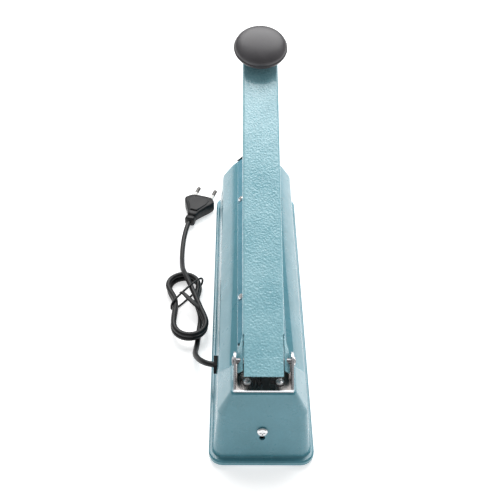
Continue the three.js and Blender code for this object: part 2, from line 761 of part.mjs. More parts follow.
// A solid between two profiles in X and Z with the same number of points.
function loft(first, y0, last, y1) {
  const flat = (points) => points.map(([x, z]) => new THREE.Vector2(x, z));
  const clockwise = THREE.ShapeUtils.area(flat(first)) < 0;
  const [from, to] = clockwise ? [first.toReversed(), last.toReversed()] : [first, last];
  const count = from.length;
  const positions = [...from.map(([x, z]) => [x, y0, z]), ...to.map(([x, z]) => [x, y1, z])].flat();
  const index = [];
  for (let i = 0; i < count; i++) {
    const next = (i + 1) % count;
    index.push(i, next + count, next, i, i + count, next + count);
  }
  for (const [i, j, k] of THREE.ShapeUtils.triangulateShape(flat(from), []))
    index.push(i, j, k, i + count, k + count, j + count);
  return new THREE.BufferGeometry()
    .setAttribute("position", new THREE.Float32BufferAttribute(positions, 3))
    .setIndex(index);
}
const earSide = new THREE.Shape();
earSide.moveTo(FLARE_START + 1, WALL_FOOT);
earSide.lineTo(FLARE_START + 1, ARM_TOP);
earSide.lineTo(-3, ARM_TOP);
earSide.absarc(0, 0, EAR_R, Math.PI * 0.65, Math.PI * 1.5, false);
earSide.closePath();
const ears = [-1, 1].map((side) =>
  common(
    join(
      loft(onSide(splayedWall, side), -EAR_R - 1, onSide(splayedWall, side), FLARE_END),
      loft(onSide(splayedWall, side), FLARE_END, onSide(straightWall, side), FLARE_START + 0.4),
    ),
    sidePlate(earSide, -30, 30),
  ),
);
add(
  "arm",
  raise(
    cut(
      join(
        cut(
          prism(channelOuter, FLARE_START, ARM_FRONT),
          prism(channelInner, FLARE_START - 1, ARM_FRONT + 1),
        ),
        common(
          prism(channelOuter, ARM_REAR, FLARE_START + 0.5),
          slab(TONGUE, -30, 30, ARM_TOP - ARM_SKIN, 10),
        ),
        ...ears,
      ),
      alongX(rod(PIN_R + GAP, -30, 30, SCREW_SIDES)),
      rod(2.4, -10, 20, SCREW_SIDES).translate(0, KNOB_Y, 0),
    ),
  ),
  "enamel",
);
const HOLDER_START = JAW_START - PIVOT_Y;
const HOLDER_END = JAW_END - PIVOT_Y - 4;
add(
  "pad_holder",
  raise(
    cut(
      slab(7, HOLDER_START, HOLDER_END - 10, WALL_FOOT + 0.3, UNDER_ARM - GAP),
      slab(5.8, HOLDER_START - 1, HOLDER_END, WALL_FOOT - 1, UNDER_ARM - GAP - 1.2),
    ),
  ),
  "aluminium",
);
const PAD_FOOT = JAW_Z + GAP - PIVOT_Z;
add(
  "pressing_pad",
  raise(
    prism(
      mirrored([[4, PAD_FOOT], [5.5, PAD_FOOT + 1.2], [5.5, UNDER_ARM - GAP - 1.5]]),
      HOLDER_START,
      HOLDER_END - 10,
    ),
  ),
  "silicone",
);
const knobProfile = [
  [2.4, ARM_TOP + GAP],
  [7, ARM_TOP + GAP],
  [7, ARM_TOP + 4],
  [KNOB_R - 4, ARM_TOP + 5.5],
  [KNOB_R - 0.7, ARM_TOP + 7.5],
  [KNOB_R, ARM_TOP + 10],
  [KNOB_R - 0.8, ARM_TOP + 12.8],
  [KNOB_R - 3.2, ARM_TOP + 15],
  [KNOB_R - 9, ARM_TOP + 17],
  [KNOB_R - 16, ARM_TOP + 18],
  [0, ARM_TOP + 18.3],
  [0, ARM_TOP + 13],
  [2.4, ARM_TOP + 13],
];
add("knob", raise(turned([...knobProfile, knobProfile[0]], 48).translate(0, KNOB_Y, 0)), "knob");
add(
  "knob_screw",
  raise(
    panScrew(4, 2.2, 2, 14).rotateX(Math.PI).translate(0, KNOB_Y, UNDER_ARM - GAP),
  ),
  "steel",
);

// ---- cord: gland, lead, hank, lead to the plug, tie and plug ----
add(
  "cord_gland",
  cut(
    join(
      box([-36.6, CORD_Y - 5, CORD_Z - 5], [-30, CORD_Y + 5, CORD_Z + 5]),
      box([-31, CORD_Y - 7, CORD_Z - 7], [-29.6, CORD_Y + 7, CORD_Z + 7]),
    ),
    alongX(rod(CORD_D / 2 + GAP, -50, -20, 12)).translate(0, CORD_Y, CORD_Z),
  ),
  "rubber",
);
const path = (points) =>
  new THREE.CatmullRomCurve3(points.map((p) => new THREE.Vector3(...p)), false, "centripetal");
const leadRoute = [
  [-27, -86, 29],
  [-32, -86, 29],
  [-38, -86, 28.9],
  [-43, -83.6, 27.9],
  [-48, -76.6, 24],
  [-51.2, -67, 17.5],
  [-52.6, -57, 10],
  [-52.8, -49, 5],
  [-52, -42.8, 2.9],
];
add("cord_lead", bar(path(leadRoute), CORD_D, 12, 12), "rubber");
const HANK = { x: -62.5, y: 2, half: 16, length: 86, turn: THREE.MathUtils.degToRad(8), top: 15.5 };
const hankOutline = new THREE.Shape(
    roundRect(HANK.half, -HANK.length / 2, HANK.length / 2, HANK.half - 0.01, 6).map(
      ([x, y]) => new THREE.Vector2(x, y),
    ),
  );
const placeHank = (geometry) => geometry.rotateZ(HANK.turn).translate(HANK.x, HANK.y, 0);
add("cord_hank", placeHank(plate(hankOutline, 0.2, HANK.top)), "rubber");
const tieAt = (grow, width, z0, z1) => slab(HANK.half + grow, 6 - width / 2, 6 + width / 2, z0, z1);
add(
  "cord_tie",
  placeHank(cut(tieAt(1, 3, 0, HANK.top + 1), tieAt(0.4, 5, -1, HANK.top + 0.4))),
  "rubber",
);
const plugRoute = [
  [-68.2, 48.2, 8.2],
  [-69.3, 58, 5.2],
  [-70.2, 70, 3],
  [-70.4, 84, 2.7],
  [-69.8, 97, 3.6],
  [-68, 110, 5.8],
  [-66, 118, 6.8],
];
add("cord_plug_lead", bar(path(plugRoute), CORD_D, 12, 12), "rubber");

// The plug lies flat, pins away from the hinge end.
const PLUG = { x: -65.4, y: 119.3, z: 6.8, turn: THREE.MathUtils.degToRad(-17) };
const placePlug = (geometry) => geometry.rotateZ(PLUG.turn).translate(PLUG.x, PLUG.y, PLUG.z);
const plugShape = new THREE.Shape(
  mirrored([
    [3.4, 0],
    [4, 8],
    [7.5, 14],
    [14.4, 25],
    [15.3, 31],
    [10.5, 38],
  ]).map(([x, y]) => new THREE.Vector2(x, y)),
);
add("plug_body", placePlug(plate(plugShape, -6, 6)), "black");
for (const [name, side] of [["left", -1], ["right", 1]])
  add(
    "plug_pin_" + name,
    placePlug(
      alongY(turned([[0, 38.3], [2, 38.3], [2, 54], [1.2, 55.5], [0, 55.5]], 16)).translate(side * 8.8, 0, 0),
    ),
    "steel",
  );

export default group;
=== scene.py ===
"""An impulse heat sealer. Metres: +Y runs from the hinge to the knob, and +Z is up."""
import json
import math

import bmesh
import bpy
import numpy as np
from mathutils import Matrix, Vector


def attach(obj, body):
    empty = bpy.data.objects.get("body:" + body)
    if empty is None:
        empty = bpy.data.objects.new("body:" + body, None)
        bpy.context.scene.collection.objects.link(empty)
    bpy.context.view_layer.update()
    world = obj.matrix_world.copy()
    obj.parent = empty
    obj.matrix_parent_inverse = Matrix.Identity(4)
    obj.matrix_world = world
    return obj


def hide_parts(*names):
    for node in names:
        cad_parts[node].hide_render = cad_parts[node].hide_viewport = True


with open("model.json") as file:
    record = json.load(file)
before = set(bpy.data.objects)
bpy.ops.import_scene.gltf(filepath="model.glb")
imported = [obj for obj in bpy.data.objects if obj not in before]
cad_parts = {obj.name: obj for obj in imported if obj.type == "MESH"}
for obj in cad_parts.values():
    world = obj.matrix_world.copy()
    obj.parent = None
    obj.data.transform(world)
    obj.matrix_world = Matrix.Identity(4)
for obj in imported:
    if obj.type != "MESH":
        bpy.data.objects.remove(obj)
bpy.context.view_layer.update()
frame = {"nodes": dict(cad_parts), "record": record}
NODES = frame["nodes"]
MM = 0.001

# ---------------------------------------------------------------- camera
CAMERA_AT = Vector((-21.3, -524.2, 524.6)) * MM
PITCH, YAW, ROLL = (math.radians(a) for a in (40.71, 1.43, 1.35))
FOCAL_IN_FRAME_WIDTHS = 1.679


def make_camera():
    data = bpy.data.cameras.new("camera")
    data.sensor_width = 36
    data.lens = FOCAL_IN_FRAME_WIDTHS * data.sensor_width
    data.clip_end = 20
    camera = bpy.data.objects.new("camera", data)
    forward = Vector((math.sin(YAW) * math.cos(PITCH), math.cos(YAW) * math.cos(PITCH), -math.sin(PITCH)))
    right = Vector((math.cos(YAW), -math.sin(YAW), 0))
    up = right.cross(forward)
    x = right * math.cos(ROLL) + up * math.sin(ROLL)
    y = up * math.cos(ROLL) - right * math.sin(ROLL)
    turn = Matrix((x, y, -forward)).transposed()
    camera.matrix_world = Matrix.Translation(CAMERA_AT) @ turn.to_4x4()
    bpy.context.scene.collection.objects.link(camera)
    bpy.context.scene.camera = camera


make_camera()


# ---------------------------------------------------------------- small helpers
def link(obj):
    bpy.context.scene.collection.objects.link(obj)
    return obj


def from_bmesh(name, bm, smooth=True):
    mesh = bpy.data.meshes.new(name)
    bmesh.ops.recalc_face_normals(bm, faces=bm.faces)
    bm.to_mesh(mesh)
    bm.free()
    for face in mesh.polygons:
        face.use_smooth = smooth
    return link(bpy.data.objects.new(name, mesh))


def from_grid(name, rings):
    """A closed mesh through rings of points, each ring the same length."""
    bm = bmesh.new()
    rows = [[bm.verts.new(p) for p in ring] for ring in rings]
    count = len(rows[0])
    for a, b in zip(rows, rows[1:]):
        for i in range(count):
            j = (i + 1) % count
            bm.faces.new((a[i], a[j], b[j], b[i]))
    bm.faces.new(rows[0])
    bm.faces.new(rows[-1])
    return from_bmesh(name, bm)


def turned(name, profile, sides):
    """A turned piece about +Z from (radius, height) pairs; ends that lie on the axis close it."""
    bm = bmesh.new()
    rows = []
    for r, h in profile:
        if r < 1e-9:
            rows.append([bm.verts.new((0, 0, h))])
        else:
            rows.append([bm.verts.new((r * math.cos(a), r * math.sin(a), h))
                         for a in (2 * math.pi * i / sides for i in range(sides))])
    for a, b in zip(rows, rows[1:]):
        for i in range(sides):
            j = (i + 1) % sides
            if len(a) == 1 and len(b) > 1:
                bm.faces.new((a[0], b[j], b[i]))
            elif len(b) == 1 and len(a) > 1:
                bm.faces.new((a[i], a[j], b[0]))
            elif len(a) > 1:
                bm.faces.new((a[i], a[j], b[j], b[i]))
    return from_bmesh(name, bm)


def edge_smooth(obj, angle=35):
    """Smooth faces that keep every edge sharper than the angle, in degrees."""
    for face in obj.data.polygons:
        face.use_smooth = True
    obj.data.set_sharp_from_angle(angle=math.radians(angle))


def soften(obj, width):
    """Rounds a solid's edges with modifiers; its own mesh stays as it is."""
    weld = obj.modifiers.new("weld", "WELD")
    weld.merge_threshold = 0.01 * MM
    flat = obj.modifiers.new("planar", "DECIMATE")
    flat.decimate_type = "DISSOLVE"
    flat.angle_limit = math.radians(1.5)
    bevel = obj.modifiers.new("edges", "BEVEL")
    bevel.width = width
    bevel.segments = 2
    bevel.limit_method = "ANGLE"
    bevel.angle_limit = math.radians(28)
    bevel.use_clamp_overlap = True
    bevel.harden_normals = False
    normals = obj.modifiers.new("normals", "WEIGHTED_NORMAL")
    normals.keep_sharp = True
    for face in obj.data.polygons:
        face.use_smooth = True


# ---------------------------------------------------------------- materials
SHEET_BRUSHING = (300, 30, 1500)  # fine streaks across a rolled sheet


class Nodes:
    """A principled material and short calls for the nodes that feed it."""

    def __init__(self, name, base, roughness, metallic=0.0, **sockets):
        self.material = bpy.data.materials.new(name)
        self.material.use_nodes = True
        self.tree = self.material.node_tree
        self.shader = self.tree.nodes["Principled BSDF"]
        self.put("Base Color", (*base, 1))
        self.put("Roughness", roughness)
        self.put("Metallic", metallic)
        for key, value in sockets.items():
            self.put(key.replace("_", " "), value)
        self.at = self.new("ShaderNodeTexCoord").outputs["Object"]

    def put(self, socket, value):
        self.shader.inputs[socket].default_value = value

    def new(self, kind):
        return self.tree.nodes.new(kind)

    def join(self, a, b):
        self.tree.links.new(a, b)

    def scaled(self, scale):
        node = self.new("ShaderNodeMapping")
        node.inputs["Scale"].default_value = scale
        self.join(self.at, node.inputs["Vector"])
        return node.outputs[0]

    def noise(self, scale, detail, roughness=0.5, stretch=None, distortion=0.0):
        node = self.new("ShaderNodeTexNoise")
        node.inputs["Scale"].default_value = scale
        node.inputs["Detail"].default_value = detail
        node.inputs["Roughness"].default_value = roughness
        node.inputs["Distortion"].default_value = distortion
        self.join(self.scaled(stretch) if stretch else self.at, node.inputs["Vector"])
        return node.outputs[0]

    def cells(self, scale, smoothness):
        node = self.new("ShaderNodeTexVoronoi")
        node.feature = "SMOOTH_F1"
        node.inputs["Scale"].default_value = scale
        node.inputs["Smoothness"].default_value = smoothness
        self.join(self.at, node.inputs["Vector"])
        return node.outputs[0]

    def span(self, value, low, high, to_low, to_high):
        node = self.new("ShaderNodeMapRange")
        node.inputs["From Min"].default_value = low
        node.inputs["From Max"].default_value = high
        node.inputs["To Min"].default_value = to_low
        node.inputs["To Max"].default_value = to_high
        self.join(value, node.inputs["Value"])
        return node.outputs[0]

    def shades(self, value, stops):
        node = self.new("ShaderNodeValToRGB")
        ramp = node.color_ramp
        while len(ramp.elements) < len(stops):
            ramp.elements.new(0.5)
        for element, (place, colour) in zip(ramp.elements, stops):
            element.position = place
            element.color = (*colour, 1)
        self.join(value, node.inputs[0])
        return node.outputs[0]

    def times(self, a, b):
        node = self.new("ShaderNodeMath")
        node.operation = "MULTIPLY"
        self.join(a, node.inputs[0])
        self.join(b, node.inputs[1])
        return node.outputs[0]

    def add(self, a, b, weight):
        """The first value plus a share of the second."""
        node = self.new("ShaderNodeMath")
        node.operation = "MULTIPLY_ADD"
        self.join(b, node.inputs[0])
        node.inputs[1].default_value = weight
        self.join(a, node.inputs[2])
        return node.outputs[0]

    def bump(self, height, strength, distance):
        node = self.new("ShaderNodeBump")
        node.inputs["Strength"].default_value = strength
        node.inputs["Distance"].default_value = distance
        self.join(height, node.inputs["Height"])
        self.join(node.outputs[0], self.shader.inputs["Normal"])

    def colour(self, value, stops):
        self.join(self.shades(value, stops), self.shader.inputs["Base Color"])

    def rough(self, value, low, high):
        self.join(self.span(value, 0.3, 0.7, low, high), self.shader.inputs["Roughness"])


def linear(r, g, b):
    """The linear values of a colour given in 0-255 display values."""
    shares = (r / 255, g / 255, b / 255)
    return tuple(c / 12.92 if c <= 0.04045 else ((c + 0.055) / 1.055) ** 2.4 for c in shares)


def enamel(name, dark, mid, light, pebble, roughness):
    """Blue-green enamel; pebble is the height of its hammered skin in millimetres."""
    n = Nodes(name, mid, roughness, 0.0, Coat_Weight=0.45, Coat_Roughness=0.13)
    cloudy = n.noise(38, 4, 0.55)
    skin = n.cells(600, 0.4)
    veins = n.noise(620, 2, 0.5, distortion=1.2)
    height = n.add(skin, veins, 0.55)
    n.colour(n.add(cloudy, skin, 0.3), [(0.4, dark), (0.6, mid), (0.85, light)])
    n.rough(n.noise(90, 3), roughness - 0.06, roughness + 0.08)
    n.bump(height, 0.9, pebble * MM)
    return n.material


def plated(name, base, roughness, brushed=(60, 60, 900)):
    n = Nodes(name, base, roughness, 1.0)
    streaks = n.noise(1.0, 3, 0.6, stretch=brushed)
    n.colour(streaks, [(0.3, tuple(0.8 * c for c in base)), (0.7, base)])
    n.rough(streaks, roughness - 0.05, roughness + 0.12)
    n.bump(streaks, 0.15, 0.05 * MM)
    return n.material


def moulded(name, base, roughness, grain=900, height=0.05, **sockets):
    n = Nodes(name, base, roughness, 0.0, **sockets)
    texture = n.noise(grain, 2)
    patches = n.noise(45, 3)
    n.colour(patches, [(0.35, tuple(0.85 * c for c in base)), (0.65, tuple(min(1, 1.15 * c) for c in base))])
    n.rough(patches, roughness - 0.05, roughness + 0.07)
    n.bump(texture, 0.35, height * MM)
    return n.material


def bracket_plate():
    """Bright plated sheet, darkened with painted shade low down between the ears, under the raised arm."""
    n = Nodes("bracket_sheet", (0.6, 0.6, 0.62), 0.24, 1.0)
    split = n.new("ShaderNodeSeparateXYZ")
    n.join(n.at, split.inputs[0])
    reach = n.new("ShaderNodeMath")
    reach.operation = "ABSOLUTE"
    n.join(split.outputs[0], reach.inputs[0])
    # Painted shade: dark where the point lies inside the ears and ahead of the rear edge, and less so higher
    # up.
    inside = n.span(reach.outputs[0], 19.1 * MM, 20.4 * MM, 1, 0)
    ahead = n.span(split.outputs[1], -144.9 * MM, -144.4 * MM, 0, 1)
    low = n.span(split.outputs[2], 76 * MM, 86 * MM, 1, 0.25)
    painted_shade = n.times(n.times(inside, ahead), low)
    streaks = n.noise(1.0, 3, 0.6, stretch=SHEET_BRUSHING)
    # The painted shade mixed with faint streaks; the darkest stop is the painted shade between the ears.
    n.colour(n.add(painted_shade, streaks, 0.12),
             [(0.0, (0.78, 0.78, 0.8)), (0.25, (0.62, 0.62, 0.64)), (1.0, (0.17, 0.16, 0.155))])
    n.rough(streaks, 0.2, 0.36)
    n.bump(streaks, 0.12, 0.05 * MM)
    return n.material


def woven_cloth():
    """Tan glass cloth with a fine weave."""
    n = Nodes("release_cloth", linear(150, 118, 78), 0.45, 0.0, Coat_Weight=0.2, Coat_Roughness=0.3)
    weave = n.new("ShaderNodeTexWave")
    weave.inputs["Scale"].default_value = 420
    weave.inputs["Distortion"].default_value = 0.4
    n.join(n.at, weave.inputs["Vector"])
    n.colour(n.add(n.noise(60, 3), weave.outputs[1], 0.15),
             [(0.3, linear(128, 98, 62)), (0.8, linear(172, 140, 98))])
    n.bump(weave.outputs[1], 0.3, 0.08 * MM)
    return n.material


CASTING = enamel("casting_enamel", linear(72, 135, 149), linear(78, 141, 156), linear(84, 147, 163),
                 pebble=0.004, roughness=0.3)
ARM_PAINT = enamel("arm_enamel", linear(120, 174, 187), linear(132, 184, 196), linear(148, 196, 207),
                   pebble=0.3, roughness=0.24)
STRIP_PAINT = enamel("strip_enamel", linear(72, 138, 160), linear(84, 148, 168), linear(98, 160, 178),
                     pebble=0.01, roughness=0.14)
STEEL = plated("bright_steel", (0.86, 0.87, 0.88), 0.26)
ZINC = plated("zinc_sheet", (0.74, 0.75, 0.77), 0.2, SHEET_BRUSHING)
BRACKET_PLATE = bracket_plate()
ALUMINIUM = plated("aluminium", (0.68, 0.69, 0.71), 0.32, (900, 20, 900))
BRASS = plated("brass", (0.72, 0.52, 0.24), 0.28)
LAMINATIONS = plated("lamination_steel", (0.1, 0.1, 0.11), 0.5, (10, 1800, 10))
COPPER = plated("copper_winding", (0.6, 0.24, 0.09), 0.3, (10, 10, 1800))
RIBBON = plated("heating_alloy", (0.42, 0.4, 0.38), 0.35, (900, 20, 900))
KNOB = moulded("knob_plastic", linear(72, 70, 73), 0.46, 700, 0.05, Coat_Weight=0.08, Coat_Roughness=0.3)
BLACK = moulded("black_plastic", (0.012, 0.012, 0.013), 0.4)
PLUG = moulded("plug_plastic", (0.01, 0.01, 0.011), 0.46, 800, 0.08, Specular_IOR_Level=0.35)
SHEATH = moulded("cord_sheath", (0.008, 0.008, 0.009), 0.46, 500, 0.03,
                 Coat_Weight=0.06, Coat_Roughness=0.35, Specular_IOR_Level=0.35)
GLAND = moulded("gland_rubber", (0.006, 0.006, 0.006), 0.7, Specular_IOR_Level=0.2)
FOOT_RUBBER = moulded("foot_rubber", (0.02, 0.02, 0.02), 0.75)
SILICONE = moulded("silicone", linear(214, 208, 196), 0.55)
# Plated steel darkened all over as painted shade for the hinge pin, which lies in shade between the bracket's
# ears.
SHADED_PIN_STEEL = plated("hinge_pin_steel_painted_shade", (0.3, 0.3, 0.31), 0.34)
PIN_TIP = plated("pin_metal", (0.13, 0.125, 0.12), 0.38)
SLEEVE = moulded("pin_sleeve", linear(226, 224, 220), 0.4)
WHITE = moulded("white_plastic", linear(226, 226, 222), 0.4)
BOARD = moulded("circuit_board", (0.03, 0.16, 0.07), 0.35)
LAMP = moulded("lamp_lens", (0.55, 0.02, 0.01), 0.12, Coat_Weight=0.6, Coat_Roughness=0.05)
CLOTH = woven_cloth()

BY_SLOT = {
    "casting_enamel": CASTING, "arm_enamel": ARM_PAINT, "strip_enamel": STRIP_PAINT, "bright_steel": STEEL,
    "zinc_sheet": ZINC, "aluminium": ALUMINIUM, "silicone": SILICONE, "heating_alloy": RIBBON,
    "release_cloth": CLOTH, "brass": BRASS, "black_plastic": BLACK, "plug_plastic": PLUG, "pin_metal": STEEL,
    "gland_rubber": GLAND, "cord_sheath": SHEATH, "white_plastic": WHITE, "lamination_steel": LAMINATIONS,
    "copper_winding": COPPER, "circuit_board": BOARD, "lamp_lens": LAMP, "knob_plastic": KNOB,
    "foot_rubber": FOOT_RUBBER,
}


def paint(obj, material):
    obj.data.materials.clear()
    obj.data.materials.append(material)


# The hinge pin takes the steel darkened with painted shade.
PIECE_MATERIALS = {"hinge_bracket": BRACKET_PLATE, "hinge_pin": SHADED_PIN_STEEL}
for part in frame["record"]["subparts"]:
    node = NODES[part["node"]]
    for place in node.material_slots:
        place.material = PIECE_MATERIALS.get(part["node"], BY_SLOT[part["material_slot"]])

# ---------------------------------------------------------------- the free cord
CORD = 4.6 * MM
ROUTE_STEP = 2 * MM
ROUTE_EASING = 14  # rounds
CORD_STEP = 2.4 * MM
LEAD = [(-32, -86, 29), (-38, -86, 28.9), (-43, -83.6, 27.9), (-48, -76.6, 24), (-51.2, -67, 17.5),
        (-52.6, -57, 10), (-52.8, -49, 5), (-52, -42.8, 2.9)]
TAIL = [(-68.2, 48.2, 8.2), (-69.3, 58, 5.2), (-70.2, 70, 3), (-70.4, 84, 2.7), (-69.8, 97, 3.6),
        (-68, 110, 5.8), (-66, 118, 6.8)]
HANK_AT = Vector((-62.5, 2, 0)) * MM
HANK_TURN = math.radians(8)
# The hank's own measures are in millimetres from its centre.
FOLD = 14.4  # radius of the folds
WAIST = 9.0  # how far from the middle the runs pass beside the tie
TIE_Y = 8  # where the tie crosses the hank
SIDE, SIDE_Y = 11.2, -9  # where the runs lie between the tie and the near folds
FIRST_RUN = [(8.6, -24, 2.5), (11.4, -10, 2.5)]
LAST_RUN = [(WAIST - 1, TIE_Y, 12.1), (4.6, 24, 12.1), (1.8, 38, 11.6)]
# The folds in turn, far and near: (across, along, height) of each fold's centre.
FAR_FOLDS = [(0.4, 26.5, 2.5), (-0.6, 27, 7.3)]
NEAR_FOLDS = [(0, -26.5, 7.6), (0.5, -27, 12.2)]


def fold(centre, start):
    """Half a turn and a little more, from the angle it starts at, in degrees."""
    cx, cy, cz = centre
    angles = [math.radians(start + a) for a in range(-6, 187, 16)]
    return [(cx + FOLD * math.cos(a), cy + FOLD * math.sin(a), cz) for a in angles]


def hank_route():
    """The hank's route in its own axes: each turn lies on the one before and climbs on its way back."""
    points = list(FIRST_RUN)
    for far, near in zip(FAR_FOLDS, NEAR_FOLDS):
        points += [(WAIST, TIE_Y, far[2]), *fold(far, 0), (-WAIST, TIE_Y, far[2] + 1.2)]
        halfway = (far[2] + near[2]) / 2 + 1
        points += [(-SIDE, SIDE_Y, halfway), *fold(near, 180), (SIDE, SIDE_Y, near[2] - 0.1)]
    return points + LAST_RUN


def smooth_path(points, spacing):
    """Points at an even spacing along a smooth curve through the given ones."""
    p = np.array(points, float)
    ends = np.vstack([2 * p[0] - p[1], p, 2 * p[-1] - p[-2]])
    dense = []
    for a, b, c, d in zip(ends, ends[1:], ends[2:], ends[3:]):
        t = np.linspace(0, 1, 24, endpoint=False)[:, None]
        square = 2 * a - 5 * b + 4 * c - d
        cube = 3 * b - a - 3 * c + d
        dense.append(0.5 * (2 * b + (c - a) * t + square * t**2 + cube * t**3))
    dense = np.vstack([*dense, p[-1:]])
    run = np.concatenate([[0], np.cumsum(np.linalg.norm(np.diff(dense, axis=0), axis=1))])
    count = max(2, int(round(run[-1] / spacing)) + 1)
    want = np.linspace(0, run[-1], count)
    return np.column_stack([np.interp(want, run, dense[:, k]) for k in range(3)])


def ease(p, rounds):
    """Evens out a route's bends, with two points held at each end."""
    for _ in range(rounds):
        p[2:-2] += 0.5 * (0.5 * (p[1:-3] + p[3:-1]) - p[2:-2])
    return p


def in_hank(x, y, z):
    """A point in the hank's own axes, in millimetres, as a point of the frame."""
    c, s = math.cos(HANK_TURN), math.sin(HANK_TURN)
    return Vector((HANK_AT.x + (c * x - s * y) * MM, HANK_AT.y + (s * x + c * y) * MM, z * MM))


def tube(name, points, radius, material):
    """A round tube along a smooth curve near the points."""
    curve = bpy.data.curves.new(name, "CURVE")
    curve.dimensions = "3D"
    curve.bevel_depth = radius
    curve.bevel_resolution = 5
    curve.resolution_u = 3
    curve.use_fill_caps = True
    spline = curve.splines.new("NURBS")
    spline.points.add(len(points) - 1)
    for point, place in zip(spline.points, points):
        point.co = (*place, 1)
    spline.order_u = 4
    spline.use_endpoint_u = True
    curve.materials.append(material)
    return link(bpy.data.objects.new(name, curve))


def make_cord():
    lead = [Vector(p) * MM for p in LEAD]
    tail = [Vector(p) * MM for p in TAIL]
    hank = [in_hank(*p) for p in hank_route()]
    route = ease(smooth_path([*lead, *hank, *tail], ROUTE_STEP), ROUTE_EASING)
    points = smooth_path(route, CORD_STEP)
    length = float(np.linalg.norm(np.diff(points, axis=0), axis=1).sum())
    return tube("mains_cord", points, CORD / 2, SHEATH), length, points


cord, cord_length, cord_points = make_cord()
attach(cord, "base")
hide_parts("cord_lead", "cord_hank", "cord_plug_lead")


# ---------------------------------------------------------------- the tie, in millimetres
TIE_RADIUS = 0.95
TIE_BAND = 2.2  # how near a run passes to count as crossed
TIE_CLEAR = 3.2  # from a run's middle to the tie's
TIE_SQUARENESS = 0.75
TAIL_HALF_THICKNESS = 0.85


def squared_off(value, power):
    """A sine or cosine pushed outwards, which turns a circle into a rounded box."""
    return math.copysign(abs(value) ** power, value)


def make_tie():
    """The ring of a thin tie that slants across the runs and round them, and its top's height."""
    c, s = math.cos(HANK_TURN), math.sin(HANK_TURN)
    along = Vector((0.70, 0.71, 0)).normalized()
    centre = Vector((-2.3, 10, 0))
    # The runs' own outline where the tie crosses them.
    d = cord_points / MM - np.array(HANK_AT) / MM
    heights = cord_points[:, 2] / MM
    local = np.column_stack([c * d[:, 0] + s * d[:, 1], -s * d[:, 0] + c * d[:, 1], heights])
    off = local - np.array(centre)
    beside = off @ np.array((-along.y, along.x, 0))
    near = np.abs(beside) < TIE_BAND
    reach = off[near] @ np.array(along)
    low, high = reach.min() - TIE_CLEAR, reach.max() + TIE_CLEAR
    top = heights[near].max() + TIE_CLEAR
    middle, half = (low + high) / 2, (high - low) / 2
    ring = []
    for k in range(33):
        a = 2 * math.pi * k / 32
        across = middle + half * squared_off(math.cos(a), TIE_SQUARENESS)
        height = top / 2 + (top / 2 - 0.75) * squared_off(math.sin(a), TIE_SQUARENESS)
        ring.append(in_hank(*(centre + along * across)[:2], height))
    return ring, top


tie_ring, tie_top = make_tie()
tie = tube("tie_loop", tie_ring, TIE_RADIUS * MM, SHEATH)
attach(tie, "base")
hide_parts("cord_tie")


def make_tie_tail():
    """The tie's flat end, which lies down across the runs from the knot."""
    route = [(-4.5, 10.5, tie_top - 1.6), (-2.5, 7.5, tie_top + 0.4), (1.5, 1, tie_top + 0.2),
             (6, -5.5, tie_top - 0.8), (10.5, -10.5, tie_top - 2.6), (13.5, -14, tie_top - 4.6)]
    middle = smooth_path(route, 0.8)
    rings = []
    for k, centre in enumerate(middle):
        along = middle[min(k + 1, len(middle) - 1)] - middle[max(k - 1, 0)]
        across = np.cross(along, (0, 0, 1))
        across /= np.linalg.norm(across)
        share = k / (len(middle) - 1)
        # It widens from the knot and is a little narrower at its very end.
        half = 1.1 + 1.1 * math.sin(math.pi * min(1, 2.2 * share) / 2) * (1 if share < 0.94 else 0.8)
        ring = []
        for i in range(16):
            a = math.tau * i / 16
            ring.append(in_hank(centre[0] + across[0] * half * math.cos(a),
                                centre[1] + across[1] * half * math.cos(a),
                                centre[2] + TAIL_HALF_THICKNESS * math.sin(a)))
        rings.append(ring)
    tail = from_grid("tie_tail", rings)
    paint(tail, SHEATH)
    edge_smooth(tail, 50)
    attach(tail, "base")
    return tail


tie_tail = make_tie_tail()

# ---------------------------------------------------------------- solids that stay, with softened edges
EDGE_WIDTHS = {"housing": 0.9, "arm": 0.5, "hinge_bracket": 0.35,
               "clamp_strip_left": 0.25, "clamp_strip_right": 0.25}
for name, width in EDGE_WIDTHS.items():
    soften(NODES[name], width * MM)
for name, node in NODES.items():
    if not node.modifiers:
        edge_smooth(node)

# ---------------------------------------------------------------- pieces on the arm, set out from the pin
PIVOT = Vector((0, -127, 79.5)) * MM
TILT = math.radians(20.3)
RAISE = Matrix.Translation(PIVOT) @ Matrix.Rotation(TILT, 4, "X")
KNOB_Y = 279 * MM
KNOB_SEAT = 4.5  # height of the knob's lower end above the pin, in millimetres
CROWN_RADIUS = 22.0


def arc(cx, cz, r, start, stop, steps):
    """Points of an arc as (radius, height) pairs; angles in degrees."""
    return [(cx + r * math.cos(math.radians(a)), cz + r * math.sin(math.radians(a)))
            for a in np.linspace(start, stop, steps)]


def make_knob():
    seat = KNOB_SEAT
    profile = [(0, seat + 12), (2.2, seat + 12), (2.2, seat + 0.3), (6.4, seat + 0.3),
               *arc(6.4, seat + 0.9, 0.6, -90, 0, 4), (7, seat + 3.4), (9, seat + 4.4), (18, seat + 5.6),
               *arc(20.0, seat + 9.4, 2.9, -75, 10, 10)]
    # The crown: a shallow dome that rolls over into the rim.
    crown_foot, crown_top = seat + 9.7, seat + 18.3
    for a in np.linspace(math.pi / 2 - 0.05, 0.02, 22):
        profile.append((CROWN_RADIUS * math.sin(a) + 0.9 * math.sin(2 * a),
                        crown_foot + (crown_top - crown_foot) * math.cos(a) ** 0.85))
    profile.append((0, crown_top))
    knob = turned("arm_knob", [(r * MM, h * MM) for r, h in profile], 96)
    knob.data.transform(RAISE @ Matrix.Translation((0, KNOB_Y, 0)))
    paint(knob, KNOB)
    edge_smooth(knob, 50)
    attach(knob, "pressing_arm")
    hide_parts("knob")


make_knob()

